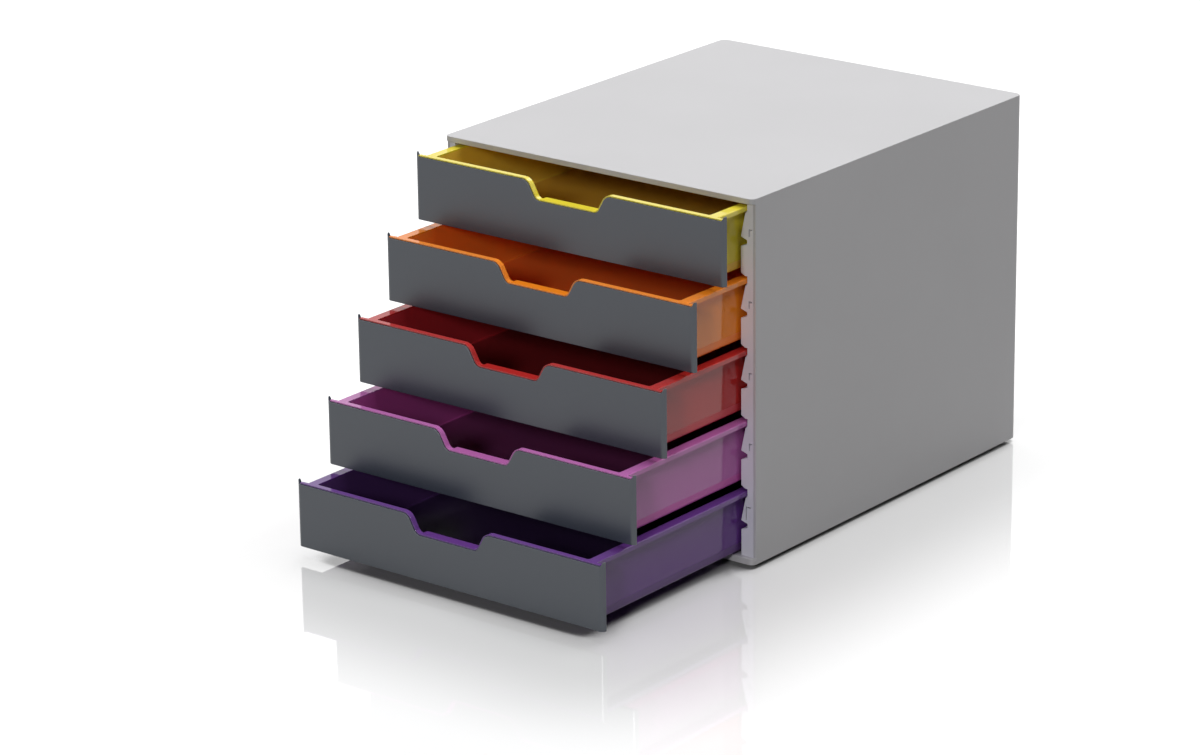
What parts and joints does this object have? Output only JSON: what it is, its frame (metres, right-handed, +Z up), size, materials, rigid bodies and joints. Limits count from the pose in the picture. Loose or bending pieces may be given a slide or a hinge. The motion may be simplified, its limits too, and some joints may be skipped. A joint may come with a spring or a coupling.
{
  "type": "desktop drawer tower",
  "caption": "Desktop drawer tower: a light grey plastic housing with coloured sliding trays behind flat dark fronts with finger notches.",
  "frame": {"origin": "on the table, under the middle of the object's bounding box with the drawers pulled out in a cascade as stored", "axes": "+Z up, +Y from the drawer fronts to the back of the housing, +X to the right seen from the front"},
  "size_m": [0.292, 0.536, 0.288],
  "materials": {
    "shell_grey": "fine-grained satin light grey",
    "guide_grey": "satin mid grey",
    "panel_grey": "fine-grained satin dark grey",
    "foot_rubber": "matt",
    "yellow_plastic": "smooth moulded",
    "orange_plastic": "smooth moulded",
    "red_plastic": "smooth moulded",
    "pink_plastic": "smooth moulded",
    "purple_plastic": "smooth moulded"
  },
  "bodies": {
    "housing": {"outer_shell": "shell_grey", "base_plate": "shell_grey", "left_guide_frame": "guide_grey", "right_guide_frame": "guide_grey", "front_left_foot": "foot_rubber", "front_right_foot": "foot_rubber", "rear_left_foot": "foot_rubber", "rear_right_foot": "foot_rubber"},
    "yellow_drawer": {"yellow_tray": "yellow_plastic", "yellow_front_panel": "panel_grey"},
    "orange_drawer": {"orange_tray": "orange_plastic", "orange_front_panel": "panel_grey"},
    "red_drawer": {"red_tray": "red_plastic", "red_front_panel": "panel_grey"},
    "pink_drawer": {"pink_tray": "pink_plastic", "pink_front_panel": "panel_grey"},
    "purple_drawer": {"purple_tray": "purple_plastic", "purple_front_panel": "panel_grey"}
  },
  "joints": [
    {"name": "yellow_drawer_slide", "type": "slide", "parent": "housing", "child": "yellow_drawer", "axis": [0, -1, 0], "range_m": [-0.0346, 0.1954]},
    {"name": "orange_drawer_slide", "type": "slide", "parent": "housing", "child": "orange_drawer", "axis": [0, -1, 0], "range_m": [-0.0709, 0.1591]},
    {"name": "red_drawer_slide", "type": "slide", "parent": "housing", "child": "red_drawer", "axis": [0, -1, 0], "range_m": [-0.1072, 0.1228]},
    {"name": "pink_drawer_slide", "type": "slide", "parent": "housing", "child": "pink_drawer", "axis": [0, -1, 0], "range_m": [-0.1435, 0.0865]},
    {"name": "purple_drawer_slide", "type": "slide", "parent": "housing", "child": "purple_drawer", "axis": [0, -1, 0], "range_m": [-0.1798, 0.0502]}
  ]
}
